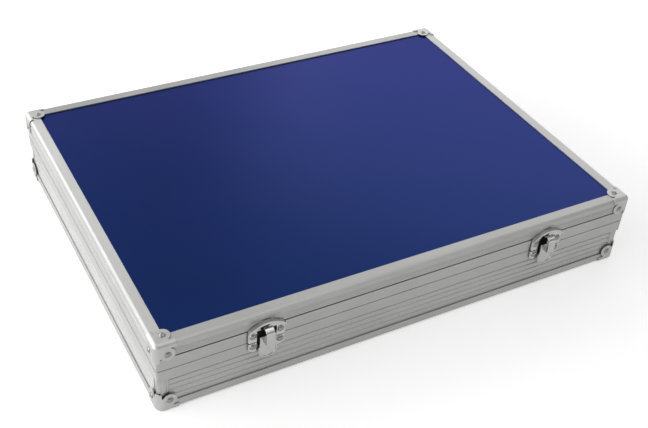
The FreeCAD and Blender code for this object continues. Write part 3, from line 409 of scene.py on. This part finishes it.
class CASE_OT_finish_rails(bpy.types.Operator):
    """Anodise the rails, corner posts and ribbed sides"""

    bl_idname = "case.finish_rails"
    bl_label = "Finish rails and sides"

    def execute(self, context):
        settings = context.scene.case_finish
        colour = settings.rail_colour
        rough = settings.rail_roughness
        kinds = ("lid_trim", "lid_closure", "base_trim", "base_closure")
        for along, walls in (("X", WALLS_ALONG_LENGTH), ("Y", WALLS_ALONG_DEPTH)):
            rail = satin_aluminium(
                f"extruded_anodised_aluminium_rail_{along}", colour, along, rough, RAIL_PAINTED_SHADE_REACH)
            side = satin_aluminium(
                f"extruded_anodised_aluminium_ribbed_{along}", shade(colour, 1.02), along,
                rough + 0.04, RIB_PAINTED_SHADE_REACH)
            finish([f"{kind}_{wall}" for kind in kinds for wall in walls], rail)
            finish([f"base_panel_{wall}" for wall in walls], side)
        post = satin_aluminium(
            "extruded_anodised_aluminium_post", colour, "Z", rough, RAIL_PAINTED_SHADE_REACH)
        finish(nodes_named("base_post"), post)
        return {"FINISHED"}


class CASE_OT_finish_plated(bpy.types.Operator):
    """Plate the corner caps, rivets, hinges and catches"""

    bl_idname = "case.finish_plated"
    bl_label = "Finish caps, hinges and catches"

    def execute(self, context):
        colour = context.scene.case_finish.plate_colour
        plated = {
            kind: nickel_plated_steel(name, shade(colour, brightness), roughness, wave)
            for kind, (name, brightness, roughness, wave) in PLATED.items()}
        # the black pads behind the latch windows are painted shade: they make the hollow behind
        # each catch dark
        shade_pads = black_rubber_shade_pad("moulded_black_rubber")
        finish(nodes_named("lid_cap", "base_cap"), plated["caps"])
        finish(nodes_named("lid_rivets", "base_rivets"), plated["rivets"])
        for side in ("left", "right"):
            finish([f"latch_{side}_catch"], plated["catches"])
            finish([f"latch_{side}_keeper", f"latch_{side}_plate"], plated["plates"])
            # painted shade: black pads in the latch hollows
            finish([f"latch_{side}_lid_pad", f"latch_{side}_base_pad"], shade_pads)
            finish([f"hinge_{side}_lid_leaf", f"hinge_{side}_base_leaf"], plated["leaves"])
            finish([f"hinge_{side}_pin", f"latch_{side}_pin"], plated["pins"])
        return {"FINISHED"}


# ---------------------------------------------------------------- sheet and boards

def metallic_blue_sheet(name, colour):
    """Blue sheet with fine metal flake under a satin clear face, roller coated.

    The flake gives a deep blue that lightens towards the light, and the clear face a
    broad soft sheen with a very fine peel.
    """
    material, tree, shader = new_material(name)
    cloud = add_node(tree, "ShaderNodeTexNoise", {
        "Vector": stretched(tree, [120 * MM] * 3), "Scale": 1.0, "Detail": 3.0})
    peel = add_node(tree, "ShaderNodeTexNoise", {
        "Vector": stretched(tree, [0.9 * MM] * 3), "Scale": 1.0, "Detail": 2.0})
    colours = add_node(tree, "ShaderNodeMix", {
        0: cloud.outputs["Fac"], 6: linear(shade(colour, 0.97)), 7: linear(shade(colour, 1.03))},
        data_type="RGBA")
    rough = add_node(tree, "ShaderNodeMapRange", {
        "Value": cloud.outputs["Fac"], "From Min": 0.3, "From Max": 0.7,
        "To Min": 0.34, "To Max": 0.38})
    relief = add_node(tree, "ShaderNodeBump", {
        "Height": peel.outputs["Fac"], "Strength": 0.15, "Distance": 0.02 * MM})
    feed(tree, shader, {
        "Base Color": colours.outputs[2],
        "Roughness": rough.outputs[0],
        "Normal": relief.outputs["Normal"],
        "Metallic": 1.0,
        "Specular Tint": linear("#1a99e6"),     # the flake's paler blue at low angles
        "Coat Weight": 0.32,
        "Coat Roughness": 0.28,
    })
    return material


def fibreboard(name):
    """Medium-density fibreboard, sanded: warm brown, with fine pressed fibres."""
    material, tree, shader = new_material(name)
    fibres = add_node(tree, "ShaderNodeTexNoise", {
        "Vector": stretched(tree, [1.5 * MM, 1.5 * MM, 0.3 * MM]), "Scale": 1.0, "Detail": 6.0})
    colours = add_node(tree, "ShaderNodeMix", {
        0: fibres.outputs["Fac"], 6: linear("#7d6246"), 7: linear("#a88a66")},
        data_type="RGBA")
    relief = add_node(tree, "ShaderNodeBump", {
        "Height": fibres.outputs["Fac"], "Strength": 0.4, "Distance": 0.1 * MM})
    feed(tree, shader, {
        "Base Color": colours.outputs[2],
        "Normal": relief.outputs["Normal"],
        "Roughness": 0.85,
    })
    return material


class CASE_OT_finish_sheets(bpy.types.Operator):
    """Face the lid and the floor with blue sheet, on fibreboard"""

    bl_idname = "case.finish_sheets"
    bl_label = "Finish sheets and boards"

    def execute(self, context):
        colour = context.scene.case_finish.sheet_colour
        sheet = metallic_blue_sheet("roller_coated_metallic_blue_sheet", colour)
        finish(nodes_named("lid_skin", "base_skin"), sheet)
        finish(nodes_named("lid_board", "base_board"), fibreboard("sanded_fibreboard"))
        return {"FINISHED"}


# ---------------------------------------------------------------- linings

def flocked_card(name, colour):
    """Card flocked with short rayon fibre.

    Nearly black and soft, with a pale bloom at glancing angles.
    """
    material, tree, shader = new_material(name)
    pile = add_node(tree, "ShaderNodeTexNoise", {
        "Vector": stretched(tree, [0.6 * MM] * 3), "Scale": 1.0, "Detail": 4.0})
    brushed = add_node(tree, "ShaderNodeTexNoise", {
        "Vector": stretched(tree, [25 * MM, 40 * MM, 25 * MM]), "Scale": 1.0, "Detail": 3.0})
    tone = add_node(tree, "ShaderNodeMath", {
        0: pile.outputs["Fac"], 1: brushed.outputs["Fac"]}, operation="ADD")
    tone = add_node(tree, "ShaderNodeMapRange", {
        "Value": tone.outputs[0], "From Min": 0.7, "From Max": 1.3})
    colours = add_node(tree, "ShaderNodeMix", {
        0: tone.outputs[0], 6: linear(shade(colour, 0.75)), 7: linear(shade(colour, 1.35))},
        data_type="RGBA")
    relief = add_node(tree, "ShaderNodeBump", {
        "Height": pile.outputs["Fac"], "Strength": 0.6, "Distance": 0.15 * MM})
    feed(tree, shader, {
        "Base Color": colours.outputs[2],
        "Normal": relief.outputs["Normal"],
        "Roughness": 0.95,
        "Sheen Weight": 0.35,
        "Sheen Roughness": 0.4,
    })
    return material


def lining_box(name, node, opens_up, wall, corner, fold):
    """A lining in the place of its CAD node: an open box with rounded corners and folds."""
    low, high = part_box(node)
    size = high - low
    piece = start_piece(name, size, (low + high) / 2)
    mouth = high.z if opens_up else low.z
    close = MM / 100

    select_where(piece, "edges", lambda edge: abs(edge.verts[0].co.z - edge.verts[1].co.z) > close)
    bpy.ops.mesh.bevel(offset=corner + wall, segments=CORNER_STEPS, profile=0.5)
    far = low.z if opens_up else high.z
    select_where(piece, "edges", lambda edge: all(abs(v.co.z - far) < close for v in edge.verts))
    bpy.ops.mesh.bevel(offset=fold + wall, segments=FOLD_STEPS, profile=0.5)
    select_where(piece, "faces", lambda face: all(abs(v.co.z - mouth) < close for v in face.verts))
    bpy.ops.mesh.delete(type="FACE")
    bpy.ops.mesh.select_all(action="SELECT")
    bpy.ops.mesh.normals_make_consistent(inside=False)
    bpy.ops.object.mode_set(mode="OBJECT")

    shell = piece.modifiers.new("card", "SOLIDIFY")
    shell.thickness = wall
    shell.offset = -1
    shell.use_even_offset = True
    bpy.ops.object.modifier_apply(modifier=shell.name)
    bpy.ops.object.shade_smooth_by_angle(angle=SMOOTH_ANGLE)
    return piece


class CASE_OT_linings(bpy.types.Operator):
    """Line the lid and the base with flocked card"""

    bl_idname = "case.linings"
    bl_label = "Linings"

    def execute(self, context):
        sizes = context.scene.case_lining
        card = flocked_card("black_flocked_card", context.scene.case_finish.lining_colour)
        for body, opens_up in (("base", True), ("lid", False)):
            node = f"{body}_lining"
            piece = lining_box(
                f"{body}_flocked_lining", node, opens_up, sizes.wall, sizes.corner, sizes.fold)
            piece.data.materials.append(card)
            settle(piece, body, "lining", node)
        return {"FINISHED"}


# ---------------------------------------------------------------- studio

def studio_floor_material():
    """White studio paper.

    It shows white to the camera and a little less white in metal, and keeps the case's
    soft shadow.
    """
    material, tree, shader = new_material("white_studio_paper")
    path = add_node(tree, "ShaderNodeLightPath")
    mirrored = add_node(tree, "ShaderNodeMath", {
        0: path.outputs["Is Glossy Ray"], 1: MIRRORED_GLOW}, operation="MULTIPLY")
    looked = add_node(tree, "ShaderNodeMath", {
        0: path.outputs["Is Camera Ray"], 1: path.outputs["Is Transmission Ray"]},
        operation="MAXIMUM")
    seen = add_node(tree, "ShaderNodeMath", {
        0: looked.outputs[0], 1: mirrored.outputs[0]}, operation="MAXIMUM")
    place = add_node(tree, "ShaderNodeTexCoord")
    reach = add_node(tree, "ShaderNodeVectorMath", {
        0: place.outputs["Object"]}, operation="LENGTH")
    lift = add_node(tree, "ShaderNodeMapRange", {      # evens out the floor past the lamps' reach
        "Value": reach.outputs["Value"], "From Min": LAMPLIT_REACH, "From Max": LAMPLIT_END,
        "To Min": NEAR_GLOW, "To Max": FAR_GLOW})
    grain = add_node(tree, "ShaderNodeTexNoise", {
        "Vector": stretched(tree, [2 * MM] * 3), "Scale": 1.0, "Detail": 2.0})
    colours = add_node(tree, "ShaderNodeMix", {
        0: grain.outputs["Fac"], 6: linear("#f4f4f4"), 7: linear("#fafafa")},
        data_type="RGBA")
    glow = add_node(tree, "ShaderNodeMath", {
        0: seen.outputs[0], 1: lift.outputs[0]}, operation="MULTIPLY")
    feed(tree, shader, {
        "Base Color": colours.outputs[2],
        "Emission Strength": glow.outputs[0],
        "Emission Color": WHITE,
        "Roughness": 0.9,
    })
    return material


def direction(azimuth, elevation):
    """A unit vector. Azimuth turns from straight back (+Y) to the right, in degrees."""
    turn = math.radians(azimuth)
    rise = math.radians(elevation)
    flat = math.cos(rise)
    return Vector((math.sin(turn) * flat, math.cos(turn) * flat, math.sin(rise)))


def soft_light(name, power, size, towards, distance, target):
    """A rectangular soft light that faces a point."""
    data = bpy.data.lights.new(name, "AREA")
    data.shape = "RECTANGLE"
    data.size, data.size_y = size
    data.energy = power
    lamp = bpy.data.objects.new(name, data)
    bpy.context.scene.collection.objects.link(lamp)
    lamp.location = target + towards * distance
    lamp.rotation_euler = (-towards).to_track_quat("-Z", "Y").to_euler()


def white_room(above):
    """A room that is white all round. Metal sees it white only near the horizon.

    Higher up, metal sees it fall to the level above, which keeps dark tones in reflections.
    """
    world = bpy.data.worlds.new("white_room")
    world.use_nodes = True
    tree = world.node_tree
    tree.nodes.clear()
    path = add_node(tree, "ShaderNodeLightPath")
    way = add_node(tree, "ShaderNodeTexCoord")
    height = add_node(tree, "ShaderNodeSeparateXYZ", {"Vector": way.outputs["Generated"]})
    backdrop = add_node(tree, "ShaderNodeMapRange", {      # white round the horizon
        "Value": height.outputs["Z"],
        "From Min": BACKDROP_FADE[0], "From Max": BACKDROP_FADE[1],
        "To Min": 1.0, "To Max": above})
    mirrored = add_node(tree, "ShaderNodeMath", {
        0: path.outputs["Is Glossy Ray"], 1: backdrop.outputs[0]},
        operation="MULTIPLY")
    seen = add_node(tree, "ShaderNodeMath", {
        0: path.outputs["Is Camera Ray"], 1: path.outputs["Is Transmission Ray"]},
        operation="MAXIMUM")
    level = add_node(tree, "ShaderNodeMath", {
        0: seen.outputs[0], 1: mirrored.outputs[0]}, operation="MAXIMUM")
    background = add_node(tree, "ShaderNodeBackground", {
        "Color": WHITE, "Strength": level.outputs[0]})
    add_node(tree, "ShaderNodeOutputWorld", {"Surface": background.outputs[0]})
    return world


def add_camera(studio, middle):
    """The camera, turned and placed about a point near the case's middle."""
    aim = middle + Vector(studio.aim)
    flat = math.cos(studio.elevation)
    towards = Vector((
        -math.sin(studio.azimuth) * flat,
        -math.cos(studio.azimuth) * flat,
        math.sin(studio.elevation)))
    data = bpy.data.cameras.new("camera")
    data.lens = studio.lens
    data.sensor_width = 36.0
    data.clip_start = 0.01
    camera = bpy.data.objects.new("camera", data)
    bpy.context.scene.collection.objects.link(camera)
    look = (-towards).to_track_quat("-Z", "Y").to_matrix().to_4x4()
    camera.matrix_world = (
        Matrix.Translation(aim + towards * studio.distance)
        @ look @ Matrix.Rotation(studio.roll, 4, "Z"))
    return camera


class CASE_OT_studio(bpy.types.Operator):
    """Set up the floor, the lights, the white room and the camera"""

    bl_idname = "case.studio"
    bl_label = "Studio"

    def execute(self, context):
        studio = context.scene.case_studio
        low, high = (Vector(corner) for corner in CAD_BOX)
        middle = (low + high) / 2

        bpy.ops.object.select_all(action="DESELECT")
        bpy.ops.mesh.primitive_plane_add(
            size=FLOOR_WIDTH, location=(0, 0, low.z - FLOOR_DROP))
        floor = context.object
        floor.name = "studio_floor"
        floor.data.materials.append(studio_floor_material())

        lamps = (     # name, power, width and height in metres, way to it from the case
            ("key", studio.key_power, (2.4, 1.6), direction(300, 30)),
            ("side", studio.side_power, (2.0, 1.2), direction(265, 14)),
            ("back", studio.back_power, (0.8, 0.9), direction(15, 17)),
            ("corner", studio.corner_power, (1.4, 0.9), direction(51, 27)),
            ("fill", studio.fill_power, (1.4, 1.4), direction(150, 60)),
            ("top", studio.top_power, (1.4, 1.4), direction(0, 89)),
            ("rear", studio.rear_power, (1.0, 1.0), direction(335, 30)),
        )
        for name, power, size, towards in lamps:
            soft_light(name, power, size, towards, studio.light_distance, middle)

        context.scene.world = white_room(studio.room_light)
        context.scene.camera = add_camera(studio, middle)
        context.scene.view_settings.view_transform = "Standard"
        return {"FINISHED"}


# ---------------------------------------------------------------- add-on

STEPS = (
    CASE_OT_finish_rails,
    CASE_OT_finish_plated,
    CASE_OT_finish_sheets,
    CASE_OT_linings,
    CASE_OT_studio,
)


class CASE_PT_panel(bpy.types.Panel):
    """Lists the steps that finish the case"""

    bl_label = "Attache case"
    bl_idname = "CASE_PT_panel"
    bl_space_type = "VIEW_3D"
    bl_region_type = "UI"
    bl_category = "Attache case"

    def draw(self, context):
        for step in STEPS:
            self.layout.operator(step.bl_idname)


SETTINGS = {
    "case_finish": FinishSettings,
    "case_lining": LiningSettings,
    "case_studio": StudioSettings,
}


def register():
    for name, group in SETTINGS.items():
        bpy.utils.register_class(group)
        setattr(bpy.types.Scene, name, PointerProperty(type=group))
    for step in (*STEPS, CASE_PT_panel):
        bpy.utils.register_class(step)


def unregister():
    for step in (CASE_PT_panel, *reversed(STEPS)):
        bpy.utils.unregister_class(step)
    for name, group in SETTINGS.items():
        delattr(bpy.types.Scene, name)
        bpy.utils.unregister_class(group)


def main():
    register()
    for step in STEPS:
        area, name = step.bl_idname.split(".")
        getattr(getattr(bpy.ops, area), name)()


if __name__ == "__main__":
    main()
